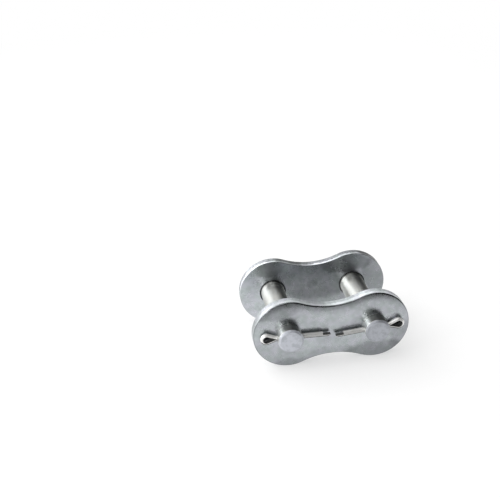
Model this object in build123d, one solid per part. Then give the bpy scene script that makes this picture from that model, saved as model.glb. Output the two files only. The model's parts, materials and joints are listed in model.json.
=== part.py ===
"""Cottered connecting link for a roller chain of 38.1 mm pitch.

Two figure-eight link plates stand upright, joined by two round pins. The pins are pressed through the
back plate and riveted over behind it. The cover plate is pressed on their front ends, and a split cotter
pin through each pin keeps it there. Each cotter pin draws straight out of its hole.

Frame, in millimetres: the origin is the middle of the link, halfway between the pins on the plane of their
axes and halfway between the plates. +X runs to the right-hand pin, +Y to the back plate, +Z up.
"""
import math
import os

from build123d import *

# The two link plates, which are the same blank
PITCH = 38.1  # from one pin axis to the other
INNER_WIDTH = 35.8  # between the facing sides of the plates
PLATE_END_RADIUS = 15.62  # of the round ends, about the pin axes
PLATE_WAIST_DEPTH = 3.81  # how far the waist dips below the top of the round ends
PLATE_THICKNESS = 4.8
PLATE_ROLL_WIDTH = 4.2  # how far in from the rim the outer face begins to roll over
PLATE_ROLL_DEPTH = 0.3  # how far it has dropped at the very rim
PLATE_ROLLED_EDGE_RADIUS = 0.6  # where the rolled outer face meets the rim
PLATE_SHEARED_EDGE_RADIUS = 0.2  # where the inner face meets the rim
PLATE_HOLE_LEAD_IN = 0.7  # chamfer of the pin holes on the inner face

# The two pins
PIN_DIAMETER = 11.1
PIN_FRONT_REACH = 6.05  # beyond the cover plate
PIN_FRONT_CHAMFER = 0.8
PIN_FRONT_EDGE_RADIUS = 0.3  # where the chamfer meets the end and the side
PIN_REAR_REACH = 2.2  # beyond the back plate
RIVET_SPREAD = 0.4  # how far the riveted rear end stands out past the pin's side
RIVET_EDGE_RADIUS = 1.1

# The cotter pins and the holes they go through
COTTER_WIRE_RADIUS = 1.1  # of the half-round wire
COTTER_LEG_GAP = 0.1  # between the flat sides of the two legs
COTTER_LENGTH = 20.0  # from the pin's side under the eye to the end of the short leg
COTTER_LONG_LEG_EXTRA = 3.5  # how far the long leg runs on past the short one
COTTER_EYE_RADIUS = 1.55  # inside the eye
COTTER_NECK_ANGLE = 20.5  # degrees between each side of the neck and its leg
COTTER_NECK_BEND = 0.9  # outside radius of the bend from leg to neck
COTTER_TIP_ANGLE = 40.0  # degrees between the long leg's mitred end and its flat side
COTTER_HOLE_CLEARANCE = 0.1  # all round the closed legs
COTTER_HOLE_HEIGHT = 1.7  # from the cover plate to the middle of the hole
COTTER_HOLE_COUNTERSINK = 0.3
LEFT_HOLE_ANGLE = -1.2  # degrees about the pin, positive lifts the hole's right-hand end
RIGHT_HOLE_ANGLE = 4.9

# Places that follow from these sizes
PIN_RADIUS = PIN_DIAMETER / 2
INNER_FACE = INNER_WIDTH / 2
OUTER_FACE = INNER_FACE + PLATE_THICKNESS
PIN_FRONT_END = -OUTER_FACE - PIN_FRONT_REACH
PIN_REAR_END = OUTER_FACE + PIN_REAR_REACH
COTTER_HOLE_Y = -OUTER_FACE - COTTER_HOLE_HEIGHT
COTTER_HOLE_RADIUS = COTTER_WIRE_RADIUS + COTTER_LEG_GAP / 2 + COTTER_HOLE_CLEARANCE
CUT_PAST = 1.0  # how far a cutting tool runs past what it cuts


def outline_arcs():
    """The figure eight as four tangent arcs: centre, radius, start angle, turn, and whether it is hollow."""
    half_pitch = PITCH / 2
    waist = PLATE_END_RADIUS - PLATE_WAIST_DEPTH
    waist_radius = (half_pitch**2 + waist**2 - PLATE_END_RADIUS**2) / (2 * PLATE_WAIST_DEPTH)
    waist_centre = waist + waist_radius
    waist_turn = 2 * math.degrees(math.atan2(half_pitch, waist_centre))
    end_turn = 180 + waist_turn
    return [
        ((half_pitch, 0), PLATE_END_RADIUS, -end_turn / 2, end_turn, False),
        ((0, waist_centre), waist_radius, 270 - waist_turn / 2, waist_turn, True),
        ((-half_pitch, 0), PLATE_END_RADIUS, 180 - end_turn / 2, end_turn, False),
        ((0, -waist_centre), waist_radius, 90 - waist_turn / 2, waist_turn, True),
    ]


def waste_section(curve, clear_z):
    """The face between a curve, from a side of the plate to its rim, and a corner clear of both."""
    start, end = curve[0] @ 0, curve[-1] @ 1
    clear = [(CUT_PAST, 0, end.Z), (CUT_PAST, 0, clear_z), (start.X, 0, clear_z)]
    return make_face(curve + [Polyline(end, *clear, start)])


def rim_sections():
    """What the rim loses, outside and inside, on the XZ plane: x is 0 at the rim, z is 0 outside."""
    corner = min(PLATE_ROLLED_EDGE_RADIUS, 0.45 * PLATE_THICKNESS, 0.45 * PLATE_ROLL_WIDTH)
    sheared = min(PLATE_SHEARED_EDGE_RADIUS, 0.2 * PLATE_THICKNESS)
    roll = (PLATE_ROLL_WIDTH**2 + PLATE_ROLL_DEPTH**2) / (2 * PLATE_ROLL_DEPTH)
    across = PLATE_ROLL_WIDTH - corner
    corner_z = roll - math.sqrt((roll - corner) ** 2 - across**2)
    share = roll / (roll - corner)
    meet = (share * across - PLATE_ROLL_WIDTH, 0, roll - share * (roll - corner_z))
    rolled = TangentArc((-PLATE_ROLL_WIDTH, 0, 0), meet, tangent=(1, 0, 0))
    rounded = TangentArc(meet, (0, 0, corner_z), tangent=rolled % 1)
    inside = (-sheared, 0, PLATE_THICKNESS)
    tumbled = TangentArc(inside, (0, 0, PLATE_THICKNESS - sheared), tangent=(1, 0, 0))
    return [
        waste_section([rolled, rounded], -CUT_PAST),
        waste_section([tumbled], PLATE_THICKNESS + CUT_PAST),
    ]


def link_plate():
    """One blanked plate lying on the XY plane, its outer face at z = 0 and its inner face above."""
    arcs = outline_arcs()
    plate = extrude(make_face([CenterArc(*arc[:4]) for arc in arcs]), PLATE_THICKNESS)
    for section in rim_sections():
        for centre, radius, start, turn, hollow in arcs:
            faced = Pos(radius, 0, 0) * Rot(0, 0, 180 if hollow else 0) * section
            placed = Pos(*centre) * Rot(0, 0, start) * faced
            plate -= revolve(placed, Axis((*centre, 0), (0, 0, 1)), turn)
    hole = Cylinder(PIN_RADIUS, PLATE_THICKNESS + 2 * CUT_PAST)
    lead_in = Cone(PIN_RADIUS, PIN_RADIUS + PLATE_HOLE_LEAD_IN, PLATE_HOLE_LEAD_IN)
    hole += Pos(0, 0, (PLATE_THICKNESS - PLATE_HOLE_LEAD_IN) / 2) * lead_in
    for x in (-PITCH / 2, PITCH / 2):
        plate -= Pos(x, 0, PLATE_THICKNESS / 2) * hole
    return plate


def cotter_hole():
    """The hole through a pin, along X, with a countersink where it breaks out on each side."""
    hole = Cylinder(COTTER_HOLE_RADIUS, PIN_DIAMETER + 2 * CUT_PAST)
    wide = COTTER_HOLE_RADIUS + COTTER_HOLE_COUNTERSINK
    sink = Cone(COTTER_HOLE_RADIUS, wide, COTTER_HOLE_COUNTERSINK)
    sink += Pos(0, 0, (COTTER_HOLE_COUNTERSINK + CUT_PAST) / 2) * Cylinder(wide, CUT_PAST)
    depth = PIN_RADIUS - COTTER_HOLE_COUNTERSINK / 2
    hole += Pos(0, 0, depth) * sink
    hole += Pos(0, 0, -depth) * Rot(180, 0, 0) * sink
    return Rot(0, 90, 0) * hole


def pin(hole_angle):
    """One pin about the Y axis: chamfered in front, riveted over behind, cross-drilled for its cotter."""
    shank = Pos(0, (PIN_FRONT_END + PIN_REAR_END) / 2, 0) * Rot(90, 0, 0) * Cylinder(
        PIN_RADIUS, PIN_REAR_END - PIN_FRONT_END
    )
    front = shank.edges().filter_by(GeomType.CIRCLE).sort_by(Axis.Y)[0]
    shank = chamfer(front, PIN_FRONT_CHAMFER)
    corners = shank.edges().filter_by(GeomType.CIRCLE).sort_by(Axis.Y)[:2]
    shank = fillet(corners, min(PIN_FRONT_EDGE_RADIUS, 0.45 * PIN_FRONT_CHAMFER))
    head = Pos(0, OUTER_FACE + PIN_REAR_REACH / 2, 0) * Rot(90, 0, 0) * Cylinder(
        PIN_RADIUS + RIVET_SPREAD, PIN_REAR_REACH
    )
    rim = head.edges().filter_by(GeomType.CIRCLE).sort_by(Axis.Y)[-1]
    head = fillet(rim, min(RIVET_EDGE_RADIUS, 0.9 * PIN_REAR_REACH))
    return shank + head - Pos(0, COTTER_HOLE_Y, 0) * Rot(0, -hole_angle, 0) * cotter_hole()


def cotter_path():
    """The middle of the wire's flat side, on the XZ plane, from the short upper leg round the eye.

    x is 0 on the pin's axis and grows towards the eye. The upper half runs straight to the pin's side,
    bends up into the neck and turns round the eye, and the lower half mirrors it.
    """
    leg_z = COTTER_LEG_GAP / 2
    bend_radius = COTTER_NECK_BEND + COTTER_WIRE_RADIUS
    bend_z = leg_z + bend_radius
    turn = math.radians(COTTER_NECK_ANGLE)
    run, rise = math.cos(turn), math.sin(turn)
    eye_x = PIN_RADIUS + (bend_radius + COTTER_EYE_RADIUS - bend_z * run) / rise
    half_turn = turn / 2
    short_tip = PIN_RADIUS - COTTER_LENGTH
    long_tip = short_tip - COTTER_LONG_LEG_EXTRA
    bend_mid_x = PIN_RADIUS + bend_radius * math.sin(half_turn)
    bend_mid = (bend_mid_x, bend_z - bend_radius * math.cos(half_turn))
    bend_end = (PIN_RADIUS + bend_radius * rise, bend_z - bend_radius * run)
    eye_start = (eye_x - COTTER_EYE_RADIUS * rise, COTTER_EYE_RADIUS * run)
    eye_end = (eye_x + COTTER_EYE_RADIUS, 0)

    def at(point, side=1):
        return Vector(point[0], 0, side * point[1])

    def half(tip, side):
        leg_end = at((PIN_RADIUS, leg_z), side)
        return [
            Line(at((tip, leg_z), side), leg_end),
            ThreePointArc(leg_end, at(bend_mid, side), at(bend_end, side)),
            Line(at(bend_end, side), at(eye_start, side)),
        ]

    eye = ThreePointArc(at(eye_start), at(eye_end), at(eye_start, -1))
    return Wire(half(short_tip, 1) + [eye] + half(long_tip, -1)), short_tip, long_tip


def cotter_pin():
    """One cotter pin along X, eye towards +X, folded from half-round wire with its flat side inwards."""
    path, short_tip, long_tip = cotter_path()
    start = Plane(origin=(short_tip, 0, COTTER_LEG_GAP / 2), x_dir=(0, 1, 0), z_dir=(1, 0, 0))
    half_round = Circle(COTTER_WIRE_RADIUS) & Pos(0, COTTER_WIRE_RADIUS / 2, 0) * Rectangle(
        2 * COTTER_WIRE_RADIUS, COTTER_WIRE_RADIUS
    )
    cotter = sweep(start * half_round, path)
    across = 4 * COTTER_WIRE_RADIUS
    mitre_block = Pos(-across / 2, 0, 0) * Box(across, across, across)
    tip = Pos(long_tip, 0, -COTTER_LEG_GAP / 2) * Rot(0, COTTER_TIP_ANGLE - 90, 0)
    return cotter - tip * mitre_block


def place_cotter(side, hole_angle):
    """The place of a cotter pin made along X: side is 1 for the right-hand hole, -1 for the left-hand."""
    turn_round = Rot(0, 0, 180) if side < 0 else Rot(0, 0, 0)
    return Pos(side * PITCH / 2, COTTER_HOLE_Y, 0) * Rot(0, -hole_angle, 0) * turn_round


nodes = {
    "back_plate": Pos(0, OUTER_FACE, 0) * Rot(90, 0, 0) * link_plate(),
    "cover_plate": Pos(0, -OUTER_FACE, 0) * Rot(-90, 0, 0) * link_plate(),
    "left_pin": Pos(-PITCH / 2, 0, 0) * pin(LEFT_HOLE_ANGLE),
    "right_pin": Pos(PITCH / 2, 0, 0) * pin(RIGHT_HOLE_ANGLE),
    "left_cotter_pin": place_cotter(-1, LEFT_HOLE_ANGLE) * cotter_pin(),
    "right_cotter_pin": place_cotter(1, RIGHT_HOLE_ANGLE) * cotter_pin(),
}

os.makedirs("parts", exist_ok=True)
for name, shape in nodes.items():
    export_step(shape, f"parts/{name}.step")
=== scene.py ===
import json
import math

import bpy
from mathutils import Matrix, Vector


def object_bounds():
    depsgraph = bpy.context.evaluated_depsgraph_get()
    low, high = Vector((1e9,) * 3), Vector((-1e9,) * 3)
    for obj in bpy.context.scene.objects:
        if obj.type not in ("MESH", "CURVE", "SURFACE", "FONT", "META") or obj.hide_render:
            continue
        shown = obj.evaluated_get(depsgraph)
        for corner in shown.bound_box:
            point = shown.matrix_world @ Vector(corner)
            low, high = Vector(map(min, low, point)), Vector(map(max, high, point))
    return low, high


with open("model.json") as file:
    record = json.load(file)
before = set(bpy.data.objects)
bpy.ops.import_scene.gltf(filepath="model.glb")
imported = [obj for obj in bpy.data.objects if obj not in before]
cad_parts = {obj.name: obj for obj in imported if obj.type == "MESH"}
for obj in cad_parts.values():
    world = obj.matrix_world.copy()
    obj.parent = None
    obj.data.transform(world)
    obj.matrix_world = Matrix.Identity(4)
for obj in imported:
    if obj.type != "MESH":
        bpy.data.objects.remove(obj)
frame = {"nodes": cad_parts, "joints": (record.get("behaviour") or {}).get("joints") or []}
cad_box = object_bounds()

scene = bpy.context.scene
nodes = frame["nodes"]
MM = 0.001
FLOOR_Z = cad_box[0].z


def span(node, axis):
    """Where a CAD piece begins and ends along one axis of the frame, in millimetres."""
    places = [vertex.co[axis] / MM for vertex in nodes[node].data.vertices]
    return min(places), max(places)


# How far both plates' faces lie from the middle of the link, in millimetres
INNER_FACE, OUTER_FACE = span("back_plate", 1)


# ---------------------------------------------------------------- camera
CAMERA_PLACE = (-78.751 * MM, -367.461 * MM, 207.449 * MM)
CAMERA_RIGHT = (0.98784612, -0.14895581, -0.04440958)  # which way the picture's right side lies
CAMERA_UP = (0.10346472, 0.4169289, 0.9030312)  # and which way its top does
CAMERA_LENS = 67.39
CAMERA_SENSOR = 36.0
CAMERA_CLIP = (0.01, 50.0)


def make_camera():
    data = bpy.data.cameras.new("camera")
    data.lens = CAMERA_LENS
    data.sensor_width = CAMERA_SENSOR
    data.clip_start, data.clip_end = CAMERA_CLIP
    camera = bpy.data.objects.new("camera", data)
    scene.collection.objects.link(camera)
    right, up = Vector(CAMERA_RIGHT), Vector(CAMERA_UP)
    turn = Matrix((right, up, right.cross(up))).transposed()
    camera.matrix_world = Matrix.Translation(CAMERA_PLACE) @ turn.to_4x4()
    scene.camera = camera


# ---------------------------------------------------------------- node helpers
class Graph:
    """Adds shader nodes to one tree. An input that is a socket is linked, and any other is a value."""

    def __init__(self, tree):
        self.tree = tree

    def put(self, socket, value):
        if isinstance(value, bpy.types.NodeSocket):
            self.tree.links.new(value, socket)
        else:
            socket.default_value = value

    def add(self, kind, inputs=(), out=0, **settings):
        node = self.tree.nodes.new("ShaderNode" + kind)
        for key, value in settings.items():
            setattr(node, key, value)
        for key, value in dict(inputs).items():
            self.put(node.inputs[key], value)
        return node.outputs[out]

    def math(self, operation, *values):
        return self.add("Math", enumerate(values), operation=operation)

    def times(self, a, b):
        return self.math("MULTIPLY", a, b)

    def most(self, a, b):
        return self.math("MAXIMUM", a, b)

    def vector(self, operation, *values, out=0):
        return self.add("VectorMath", enumerate(values), out=out, operation=operation)

    def remap(self, value, start, end, low, high):
        """Takes value from start..end smoothly to low..high."""
        inputs = {"Value": value, "From Min": start, "From Max": end, "To Min": low, "To Max": high}
        return self.add("MapRange", inputs, interpolation_type="SMOOTHSTEP")

    def rise(self, value, start, end):
        """0 up to start and 1 from end on."""
        return self.remap(value, start, end, 0.0, 1.0)

    def fall(self, value, start, end):
        """1 up to start and 0 from end on."""
        return self.remap(value, start, end, 1.0, 0.0)

    def mix(self, share, a, b):
        return self.add("Mix", {0: share, 6: a, 7: b}, out=2, data_type="RGBA")

    def shade(self, colour, factor):
        """The colour times a grey factor."""
        return self.add("VectorMath", {0: colour, 3: factor}, operation="SCALE")

    def keep(self, colour, where, share):
        """The colour, of which this share is left where the mask is 1."""
        return self.shade(colour, self.remap(where, 0.0, 1.0, 1.0, share))

    def noise(self, place, size, detail=2.0, rough=0.5, out=0):
        """Noise whose lumps are about size millimetres across."""
        inputs = {"Vector": place, "Scale": 1.0 / size, "Detail": detail, "Roughness": rough}
        return self.add("TexNoise", inputs, out=out)

    def mottle(self, place, size, low=0.0, high=1.0, detail=2.0, rough=0.5, start=0.3, end=0.7):
        """Noise whose middle stretch, from start to end, is taken to low..high."""
        return self.remap(self.noise(place, size, detail, rough), start, end, low, high)

    def place(self, stretch=(1, 1, 1), shift=(0, 0, 0)):
        """The point on the piece in millimetres, stretched and then shifted."""
        point = self.add("TexCoord", out="Object")
        return self.vector("MULTIPLY_ADD", point, tuple(s / MM for s in stretch), shift)

    def part(self, vector, axis):
        """X, Y or Z of a vector."""
        return self.add("SeparateXYZ", {0: vector}, out=axis)

    def normal(self, axis):
        """X, Y or Z of the surface's normal."""
        return self.part(self.add("TexCoord", out="Normal"), axis)

    def bump(self, *layers):
        """The normal over layers of relief, each a height from 0 to 1 and its depth in millimetres."""
        height = 0.0
        for relief, depth in layers:
            height = self.math("MULTIPLY_ADD", relief, depth * MM, height)
        return self.add("Bump", {"Strength": 1.0, "Distance": 1.0, "Height": height})


def lit_surface(name):
    """A material with one Principled shader: its graph and the shader's inputs."""
    material = bpy.data.materials.new(name)
    material.use_nodes = True
    shader = material.node_tree.nodes["Principled BSDF"]
    return material, Graph(material.node_tree), shader.inputs


# ---------------------------------------------------------------- lights, floor and surroundings
LAMP_DISTANCE = 1.0
# Azimuth from straight behind, positive to the right, and elevation in degrees; width and height in
# metres; and how bright the panel looks, where 1 is white
SOFTBOXES = {
    "left_high": (-97, 38, 0.72, 0.45, 2.7),
    "left_low": (-97, 12, 0.85, 0.4, 2.4),
    "left_top": (-105, 65, 0.6, 0.45, 0.95),
    "front_low": (-155, 9, 0.3, 0.2, 12.0),
    "back_left_high": (-45, 38, 0.82, 0.45, 2.45),
    "back_left_low": (-45, 12, 1.0, 0.4, 1.45),
    "back_high": (0, 38, 0.42, 0.45, 1.0),
    "back_low": (0, 12, 0.5, 0.4, 0.4),
    "overhead": (180, 84, 0.5, 0.5, 0.4),
}
# Black cards that keep the white room out of the metal, placed and sized as the softboxes are
FLAG_DISTANCE = 1.5
FLAGS = {
    "flag_front": (182, 26, 2.6, 1.5),
    "flag_right_front": (118, 26, 1.5, 1.5),
    "flag_right": (66, 26, 1.5, 1.5),
    "flag_top_right": (90, 66, 2.2, 1.0),
    "flag_top_back": (-10, 68, 2.0, 0.9),
}
# One more stands on the floor in front of the link: its middle, and its width and height
LOW_FLAG = (0.0, -0.095, 0.3, 0.03)
CARD_GREY = 0.02

FLOOR_SIZE = 12.0
FLOOR_GREY = 0.9
FLOOR_GLOW = 0.45  # how much of the floor's white is its own near the link; far off all of it is
FLOOR_GLOW_REACH = (0.12, 0.7)  # how far off that share begins to rise, and where it is all
ROOM_LIGHT = 0.7  # how bright the room is where it lights matt things; it is 1 to the camera and in gloss


def face_origin(thing, azimuth, elevation, distance):
    """Puts a lamp or card at that distance from the link, facing it."""
    turn, lift = math.radians(azimuth), math.radians(elevation)
    aim = Vector((math.sin(turn) * math.cos(lift), math.cos(turn) * math.cos(lift), math.sin(lift)))
    thing.location = aim * distance
    thing.rotation_mode = "QUATERNION"
    thing.rotation_quaternion = (-aim).to_track_quat("-Z", "Y")


def softbox(name, azimuth, elevation, width, height, radiance):
    data = bpy.data.lights.new(name, "AREA")
    data.shape = "RECTANGLE"
    data.size, data.size_y = width, height
    data.energy = math.pi * width * height * radiance
    light = bpy.data.objects.new(name, data)
    scene.collection.objects.link(light)
    face_origin(light, azimuth, elevation, LAMP_DISTANCE)


def flat_sheet(name, width, height, z=0.0):
    """A rectangle of the stage, lying flat about the Z axis."""
    x, y = width / 2, height / 2
    mesh = bpy.data.meshes.new(name)
    mesh.from_pydata([(-x, -y, z), (x, -y, z), (x, y, z), (-x, y, z)], [], [(0, 1, 2, 3)])
    sheet = bpy.data.objects.new(name, mesh)
    scene.collection.objects.link(sheet)
    return sheet


def flag(name, width, height, material):
    card = flat_sheet(name, width, height)
    card.data.materials.append(material)
    card.visible_camera = False
    card.visible_diffuse = False
    card.visible_shadow = False
    return card


def matt(name, grey):
    material, _, shader = lit_surface(name)
    shader["Base Color"].default_value = (grey, grey, grey, 1)
    shader["Roughness"].default_value = 1.0
    shader["Specular IOR Level"].default_value = 0.0
    return material


def make_flags():
    material = matt("black_card", CARD_GREY)
    for name, (azimuth, elevation, width, height) in FLAGS.items():
        face_origin(flag(name, width, height, material), azimuth, elevation, FLAG_DISTANCE)
    x, y, width, height = LOW_FLAG
    low = flag("flag_low", width, height, material)
    low.rotation_euler = (math.radians(90), 0, 0)
    low.location = (x, y, FLOOR_Z + height / 2)


def make_world():
    world = bpy.data.worlds.new("studio")
    scene.world = world
    world.use_nodes = True
    graph = Graph(world.node_tree)
    background = world.node_tree.nodes["Background"]
    background.inputs["Color"].default_value = (1, 1, 1, 1)
    graph.put(background.inputs["Strength"], graph.most(seen_or_mirrored(graph), ROOM_LIGHT))


def seen_or_mirrored(graph):
    """1 for rays from the camera, from gloss and through glass, and 0 for the rest."""
    path = graph.add("LightPath", out="Is Camera Ray").node
    seen = graph.most(path.outputs["Is Camera Ray"], path.outputs["Is Glossy Ray"])
    return graph.most(seen, path.outputs["Is Transmission Ray"])


def make_floor():
    """A pale floor, in part white by itself to the camera and in the metal, that keeps a soft shadow."""
    floor = flat_sheet("floor", FLOOR_SIZE, FLOOR_SIZE, FLOOR_Z)
    material = matt("floor", FLOOR_GREY)
    graph = Graph(material.node_tree)
    output = material.node_tree.nodes["Material Output"]
    white = graph.add("Emission", {"Color": (1, 1, 1, 1), "Strength": 1.0})
    lit = material.node_tree.nodes["Principled BSDF"].outputs["BSDF"]
    reach = graph.vector("LENGTH", graph.add("TexCoord", out="Object"), out="Value")
    glow = graph.remap(reach, *FLOOR_GLOW_REACH, FLOOR_GLOW, 1.0)
    share = graph.times(seen_or_mirrored(graph), glow)
    graph.put(output.inputs["Surface"], graph.add("MixShader", {0: share, 1: lit, 2: white}))
    floor.data.materials.append(material)


# ---------------------------------------------------------------- plates
# Each entry is a duller or brighter patch: its centre and reach in x and z, how far it fades as a share of
# its reach, and how much of the light it keeps. Most of them are painted shade and painted light on the
# metal.
COVER_STAINS_AND_SHADING = [
    # Shade inside the cotter pins' eyes, left and right, which stays on the plate when they are drawn
    ((-28.3, -0.8), (2.6, 1.0), 0.35, 0.15),
    ((28.6, 0.0), (2.6, 1.0), 0.35, 0.15),
    # Painted shade beside the right pin, along the bottom, at both ends and at the upper left
    ((13.5, 3.0), (4.0, 1.8), 0.9, 0.85),
    ((21.0, -14.0), (11.0, 4.0), 1.0, 0.63),
    ((31.5, -8.0), (4.0, 6.0), 1.0, 0.72),
    ((-17.0, -16.0), (9.0, 3.0), 1.0, 0.74),
    ((-28.0, -9.0), (8.0, 6.0), 1.0, 0.91),
    ((0.0, -11.0), (7.0, 2.0), 1.0, 0.88),
    ((-27.5, 12.0), (9.0, 3.0), 0.7, 0.72),
]
COVER_RIM_SHADING = [
    # Painted shade on the rim in the middle and at the left end, and painted light to the right
    ((-8.0, 13.0), (4.0, 3.0), 0.8, 0.85),
    ((-28.0, 9.0), (9.0, 12.0), 0.4, 0.86),
    ((20.0, 15.0), (5.0, 3.0), 0.8, 1.25),
]
BACK_STAINS_AND_SHADING = [
    # Painted shade over the middle, low down, above both pins and at the right end, a small darker spot in
    # the middle, and painted light at the left end
    ((2.0, 4.0), (13.0, 7.0), 0.9, 0.57),
    ((0.0, -6.0), (12.0, 4.0), 0.8, 0.85),
    ((0.0, 2.0), (1.6, 1.0), 1.2, 0.8),
    ((-20.0, 12.0), (5.0, 3.0), 0.8, 0.68),
    ((16.0, 11.0), (9.0, 3.5), 0.7, 0.6),
    ((32.0, 4.0), (6.0, 9.0), 0.6, 0.7),
    ((-31.0, -4.0), (6.0, 10.0), 0.8, 1.18),
]
BACK_RIM_SHADING = [
    # Painted light at the left end and right of the middle, and painted shade left of the middle and at the
    # right end
    ((-31.0, 8.0), (14.0, 9.0), 0.3, 1.8),
    ((-5.5, 12.0), (4.5, 3.0), 0.5, 0.8),
    ((6.0, 12.5), (6.5, 4.0), 0.4, 1.3),
    ((-11.0, 13.0), (5.0, 4.0), 0.5, 0.6),
    ((31.0, 8.0), (8.0, 11.0), 0.5, 0.3),
]
PATCH_BENDS = 5.0  # how far apart the bends in a patch's outline are
PATCH_SWING = 4.0  # and how wide they swing

# The cut rim is burnished for this far behind a plate's front face, and torn from there on
COVER_BURNISHED, BACK_BURNISHED = 2.5, 1.4
# Each plate: the y where the torn part begins, how light that is at its darkest and at its lightest, and
# the stains, painted shade and painted light on the front and on the rim. The torn part is darker on the
# back plate than on the cover plate, and that difference is painted shade.
PLATES = {
    "cover": (COVER_BURNISHED - OUTER_FACE, (0.7, 0.95), COVER_STAINS_AND_SHADING, COVER_RIM_SHADING),
    "back": (BACK_BURNISHED + INNER_FACE, (0.3, 0.53), BACK_STAINS_AND_SHADING, BACK_RIM_SHADING),
}
TORN_LINE = 0.35  # half the width of the line between the two parts
TORN_STREAKS = (1.0, 0.35, 1.0)  # drawn out through the thickness
TORN_ROUGHER = 0.12

# Where each place on a plate begins and ends, by how squarely it faces along y: 1 on the faces, 0 on the rim
# and in between on the rolled corners
FACE_FACING = (0.7, 0.95)
ROLL_FACING = (0.35, 0.6), (0.93, 0.985)
RIM_FACING = (0.25, 0.6)

PLATE_COLOURS = (0.447, 0.484, 0.491, 1), (0.467, 0.48, 0.516, 1)
PLATE_BROAD_TONES, PLATE_FINE_TONES = (0.93, 1.07), (0.95, 1.05)
PLATE_ROUGHNESS = (0.26, 0.32)
PLATE_GRAIN_DEPTH, PLATE_DENT_DEPTH = 0.0004, 0.008
ROLL_SHADE = 0.62  # how much of the light the rolled corners keep: painted shade deepening their dark reflection

PIT_SPACING = 3.6
PIT_EDGE = (0.05, 0.1)  # in shares of the spacing
PIT_STRENGTH, PIT_SHADE = 0.3, 0.45


def ellipse(graph, point, centre, reach, soft):
    """1 within reach (x and z, in millimetres) of a centre, falling to 0 over the share soft beyond it."""
    scale = (1 / reach[0], 0, 1 / reach[1])
    shift = (-centre[0] / reach[0], 0, -centre[1] / reach[1])
    away = graph.vector("MULTIPLY_ADD", point, scale, shift)
    return graph.fall(graph.vector("LENGTH", away, out="Value"), 1.0, 1.0 + soft)


def wandering(graph, point):
    """The point moved about, so that the outline of a stain or a painted patch of light or shade wanders."""
    bends = graph.noise(point, PATCH_BENDS, out="Color")
    moved = graph.vector("MULTIPLY_ADD", bends, (PATCH_SWING,) * 3, point)
    return graph.vector("SUBTRACT", moved, (PATCH_SWING / 2,) * 3)


def stained_and_shaded(graph, colour, point, where, spots):
    """The colour with these stains and painted patches of light and shade on it where the mask is 1."""
    for centre, reach, soft, share in spots:
        spot = graph.times(where, ellipse(graph, point, centre, reach, soft))
        colour = graph.keep(colour, spot, share)
    return colour


def pitted(graph, colour, point):
    """The colour with small dark pits here and there."""
    cells = graph.add("TexVoronoi", {"Vector": point, "Scale": 1 / PIT_SPACING}, feature="F1")
    away = graph.math("ADD", cells, graph.mottle(point, 0.5, -0.03, 0.03))
    pits = graph.times(graph.fall(away, *PIT_EDGE), PIT_STRENGTH)
    return graph.mix(pits, colour, graph.shade(colour, PIT_SHADE))


def plate_steel(name, torn_from, torn_tone_and_shade, spots, rim_spots):
    """Blanked and tumbled sheet steel, with painted shade and painted light on its faces and rim."""
    material, graph, shader = lit_surface(name)
    point = graph.place()
    outward = graph.normal("Y")
    facing = graph.math("ABSOLUTE", outward)
    face = graph.rise(facing, *FACE_FACING)
    front = graph.fall(outward, -FACE_FACING[1], -FACE_FACING[0])
    rim = graph.fall(facing, *RIM_FACING)
    roll = graph.times(graph.rise(facing, *ROLL_FACING[0]), graph.fall(facing, *ROLL_FACING[1]))

    patches = graph.mottle(point, 4.5, detail=3.0, rough=0.55, start=0.38, end=0.62)
    colour = graph.mix(patches, *PLATE_COLOURS)
    colour = graph.shade(colour, graph.mottle(point, 9.0, *PLATE_BROAD_TONES))
    colour = graph.shade(colour, graph.mottle(point, 2.2, *PLATE_FINE_TONES))
    wander = wandering(graph, point)
    # painted shade and painted light on the front face
    colour = stained_and_shaded(graph, colour, wander, front, spots)
    # painted shade on the rolled corners
    colour = graph.keep(colour, roll, ROLL_SHADE)

    ragged = graph.mottle(point, 1.6, -0.5, 0.5, detail=3.0, start=0.2, end=0.8)
    behind = graph.math("ADD", graph.part(point, "Y"), ragged)
    torn = graph.times(rim, graph.rise(behind, torn_from - TORN_LINE, torn_from + TORN_LINE))
    streaks = graph.mottle(graph.place(TORN_STREAKS), 0.8, *torn_tone_and_shade, detail=3.0, rough=0.7)
    # The torn part, darker in streaks, with painted shade on the back plate's
    colour = graph.mix(torn, colour, graph.shade(colour, streaks))
    # painted shade and painted light on the rim
    colour = stained_and_shaded(graph, colour, wander, rim, rim_spots)
    graph.put(shader["Base Color"], pitted(graph, colour, point))
    shader["Metallic"].default_value = 1.0

    rough = graph.mottle(point, 2.4, *PLATE_ROUGHNESS, detail=3.0)
    graph.put(shader["Roughness"], graph.math("ADD", rough, graph.times(torn, TORN_ROUGHER)))
    grain = graph.noise(point, 0.4)
    dents = graph.times(graph.noise(point, 3.0), face)
    graph.put(shader["Normal"], graph.bump((grain, PLATE_GRAIN_DEPTH), (dents, PLATE_DENT_DEPTH)))
    return material


# ---------------------------------------------------------------- pins
# Each pin: how light its ends are, painted shade that is deeper on the right pin than on the left, and how
# light the painted highlight on its left side is on the stub outside the cover plate, beside the cover plate
# and beside the back plate
PINS = {"left": (0.77, 1.4, 0.86, 1.16), "right": (0.6, 1.7, 1.1, 1.75)}
STUB_HIGHLIGHT_INSIDE = 0.9  # what the stub's painted highlight falls to inside the cover plate
RIGHT_LIGHT = 1.4  # painted light: how light the part away from the highlight is on the pin's right
# painted shade in patches on the side near the back plate
NEAR_BACK_SHADE = 0.65
# painted shade in the corners where the pins meet the plates
CORNER_SHADE = 0.5

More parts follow.
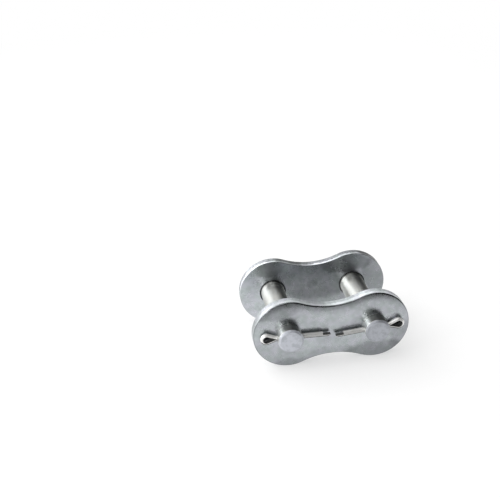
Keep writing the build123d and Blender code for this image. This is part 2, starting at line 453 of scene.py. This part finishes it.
# Where each change along the pin begins and ends, in y
HIGHLIGHT_Y = (3.0, 14.0)
NEAR_BACK_SHADE_Y = (8.0, 15.0)
STUB_Y = (-OUTER_FACE - 0.5, -OUTER_FACE + 0.3)
STUB_HIGHLIGHT_Y = (-OUTER_FACE - 0.3, -OUTER_FACE + 0.3)
COVER_CORNER_Y = (-OUTER_FACE - 1.3, -OUTER_FACE - 0.5), (-OUTER_FACE - 0.8, -OUTER_FACE - 0.1)
BACK_CORNER_Y = (INNER_FACE - 0.8, INNER_FACE - 0.2)

# And where each change around it does, by the way the surface faces: along x, which is -1 on the pin's
# left, and how squarely along y
HIGHLIGHT_FACING = (-0.8, -0.5)
REST_FACING = (-0.5, 0.0)
END_FACING = (0.3, 0.6)

PIN_SIDE_COLOURS = (0.574, 0.579, 0.553, 1), (0.54, 0.553, 0.541, 1)
PIN_END_COLOURS = (0.61, 0.632, 0.69, 1), (0.485, 0.508, 0.55, 1)
PIN_END_METALLIC = 0.5
PIN_ROUGHNESS = (0.52, 0.6)
STUB_SMOOTHER = 0.24
PIN_STREAKING = 0.85  # how strongly the grinding streaks the light
STUB_TUMBLED = 0.5  # how much of that tumbling has taken off the stub
PIN_RINGS = (0.15, 1.0, 0.15)  # drawn out around the pin
PIN_RING_DEPTH, PIN_GRAIN_DEPTH, PIN_DENT_DEPTH = 0.002, 0.003, 0.012


def pin_side(graph, point, y, stub_highlight, front_highlight, back_highlight):
    """The colour of the side: a painted highlight on the left, painted light on the right, and painted shade
    in patches near the back plate.
    """
    metal = graph.mix(graph.mottle(point, 3.0), *PIN_SIDE_COLOURS)
    sideways = graph.normal("X")
    # painted highlight down the left side, lighter near the back plate and on the stub
    highlight = graph.remap(y, *HIGHLIGHT_Y, front_highlight, back_highlight)
    stub_highlight = graph.remap(y, *STUB_HIGHLIGHT_Y, stub_highlight, STUB_HIGHLIGHT_INSIDE)
    highlighted = graph.shade(metal, graph.most(highlight, stub_highlight))

    # painted light, stronger toward the pin's right
    rest = graph.shade(metal, graph.remap(sideways, *REST_FACING, front_highlight, RIGHT_LIGHT))
    patches = graph.mottle(point, 2.5, detail=3.0, rough=0.6, end=0.6)
    # painted shade in patches near the back plate
    rest = graph.keep(rest, graph.times(graph.rise(y, *NEAR_BACK_SHADE_Y), patches), NEAR_BACK_SHADE)
    return graph.mix(graph.fall(sideways, *HIGHLIGHT_FACING), rest, highlighted)


def pin_corner_shade(graph, y):
    """1 in the corners against the plates, where shade is painted, and on the riveted end behind the back
    plate.
    """
    corners = graph.most(graph.rise(y, *BACK_CORNER_Y), graph.fall(y, *COVER_CORNER_Y[1]))
    return graph.times(corners, graph.rise(y, *COVER_CORNER_Y[0]))


def pin_steel(name, end_shade, *highlights):
    """Steel that is ground around the side, and tumbled on the ends and the stub."""
    material, graph, shader = lit_surface(name)
    point = graph.place()
    y = graph.part(point, "Y")
    end = graph.rise(graph.math("ABSOLUTE", graph.normal("Y")), *END_FACING)
    stub = graph.fall(y, *STUB_Y)

    patches = graph.mottle(point, 2.0, detail=3.0, rough=0.6, start=0.4, end=0.6)
    # painted shade on the ends, deeper on the right pin
    end_colour = graph.shade(graph.mix(patches, *PIN_END_COLOURS), end_shade)
    colour = graph.mix(end, pin_side(graph, point, y, *highlights), end_colour)
    # painted shade in the corners against the plates
    graph.put(shader["Base Color"], graph.keep(colour, pin_corner_shade(graph, y), CORNER_SHADE))
    graph.put(shader["Metallic"], graph.remap(end, 0.0, 1.0, 1.0, PIN_END_METALLIC))

    rough = graph.mottle(point, 1.3, *PIN_ROUGHNESS, detail=3.0, rough=0.6)
    graph.put(shader["Roughness"], graph.math("SUBTRACT", rough, graph.times(stub, STUB_SMOOTHER)))
    tumbled = graph.most(end, graph.times(stub, STUB_TUMBLED))
    graph.put(shader["Anisotropic"], graph.remap(tumbled, 0.0, 1.0, PIN_STREAKING, 0.0))
    shader["Anisotropic Rotation"].default_value = 0.25
    graph.put(shader["Tangent"], graph.add("Tangent", direction_type="RADIAL", axis="Y"))

    rings = graph.noise(graph.place(PIN_RINGS), 0.16, rough=0.7)
    grain = graph.noise(point, 0.35, detail=3.0, rough=0.6)
    dents = graph.noise(point, 1.6)
    relief = (rings, PIN_RING_DEPTH), (grain, PIN_GRAIN_DEPTH), (dents, PIN_DENT_DEPTH)
    graph.put(shader["Normal"], graph.bump(*relief))
    return material


# ---------------------------------------------------------------- cotter pins
# Which way each cotter pin is drawn out of its hole, eye first
TOWARD_EYE = {joint["child"]: Vector(joint["axis"]) for joint in frame["joints"]}

# The inside of the folded wire, in millimetres from the pin's axis toward the eye and outward from the
# middle of the fold. Each pair is where a fade begins and ends.
EYE_X = 10.204
EYE_EDGE = (1.6, 1.68)  # from the middle of the eye
NECK_START, NECK_END = (5.6, 6.0), (9.6, 9.7)
NECK_OPENS_X, NECK_SLOPE = 5.91, 0.374  # where its walls begin to part, and how fast
NECK_EDGE = (0.1, 0.16)  # beyond the walls
SLIT_END = (-5.6, -5.2)  # between the tips of the legs
SLIT_EDGE = (0.05, 0.1)
SLIT_SHARE = 0.9

LEG_X = (-5.5, 3.0)  # where the wire brightens from the legs to the eye
UNDER_FACING = (-0.45, -0.1)  # and where it does from the underside up, by the way it faces along z
INSIDE_SHADE, LEG_SHADE, UNDER_SHADE = 0.2, 0.73, 0.15  # how much of the light they keep: painted shade inside the fold and underneath, and darker legs
UNDER_GLANCE = (0.1, 0.1, 0.1, 1)  # and the gloss tint of the underside where it is seen edge-on, painted shade in its reflection

WIRE_COLOURS = (0.77, 0.77, 0.75, 1), (0.83, 0.83, 0.825, 1)
WIRE_METALLIC = 0.62
WIRE_ROUGHNESS = (0.34, 0.44)
WIRE_LINES = (0.12, 1.0, 1.0)  # drawn out along the legs
WIRE_LINE_DEPTH = 0.004


def fold_places(graph, pin_x, along):
    """How far a point is from the pin's axis toward the eye, and 1 on the inside of the fold."""
    across = Vector((-along.z, 0, along.x))
    point = graph.place(shift=(-pin_x, 0, 0))
    x = graph.vector("DOT_PRODUCT", point, along, out="Value")
    z = graph.math("ABSOLUTE", graph.vector("DOT_PRODUCT", point, across, out="Value"))

    past_eye = graph.math("SUBTRACT", x, EYE_X)
    reach = graph.math("SQRT", graph.math("ADD", graph.times(past_eye, past_eye), graph.times(z, z)))
    in_eye = graph.fall(reach, *EYE_EDGE)

    opening = graph.times(graph.math("SUBTRACT", x, NECK_OPENS_X), NECK_SLOPE)
    past_wall = graph.math("SUBTRACT", z, graph.most(opening, 0.0))
    in_neck = graph.times(graph.rise(x, *NECK_START), graph.fall(x, *NECK_END))
    in_neck = graph.times(in_neck, graph.fall(past_wall, *NECK_EDGE))

    in_slit = graph.times(graph.fall(x, *SLIT_END), graph.fall(z, *SLIT_EDGE))
    return x, graph.most(graph.most(in_eye, in_neck), graph.times(in_slit, SLIT_SHARE))


def wire_steel(name, pin_x, along):
    """Bright drawn wire, darker on the legs, with painted shade inside the fold and underneath."""
    material, graph, shader = lit_surface(name)
    outward, inside = fold_places(graph, pin_x, along)
    under = graph.fall(graph.normal("Z"), *UNDER_FACING)
    patches = graph.mottle(graph.place(), 1.5, detail=3.0, rough=0.6, start=0.35, end=0.65)
    colour = graph.mix(patches, *WIRE_COLOURS)
    # painted shade inside the fold and in the slit between the legs' tips
    colour = graph.keep(colour, inside, INSIDE_SHADE)
    colour = graph.shade(colour, graph.remap(outward, *LEG_X, LEG_SHADE, 1.0))
    # painted shade on the underside, in its colour and in the tint of its gloss
    graph.put(shader["Base Color"], graph.keep(colour, under, UNDER_SHADE))
    graph.put(shader["Specular Tint"], graph.mix(under, (1, 1, 1, 1), UNDER_GLANCE))
    shader["Metallic"].default_value = WIRE_METALLIC

    lines = graph.noise(graph.place(WIRE_LINES), 0.22, detail=3.0, rough=0.7)
    graph.put(shader["Roughness"], graph.remap(lines, 0.3, 0.7, *WIRE_ROUGHNESS))
    graph.put(shader["Normal"], graph.bump((lines, WIRE_LINE_DEPTH)))
    return material


# ---------------------------------------------------------------- the scene
def dress(node, material):
    mesh = nodes[node].data
    if not mesh.materials:
        mesh.materials.append(material)
    for i in range(len(mesh.materials)):
        mesh.materials[i] = material


make_camera()
make_world()
make_floor()
make_flags()
for name, sizes in SOFTBOXES.items():
    softbox(name, *sizes)

for name, look in PLATES.items():
    dress(name + "_plate", plate_steel(name + "_plate_steel", *look))
for name, look in PINS.items():
    pin_x = sum(span(name + "_pin", 0)) / 2
    dress(name + "_pin", pin_steel(name + "_pin_steel", *look))
    dress(name + "_cotter_pin", wire_steel(name + "_cotter_steel", pin_x, TOWARD_EYE[name + "_cotter"]))

scene.view_settings.view_transform = "Standard"
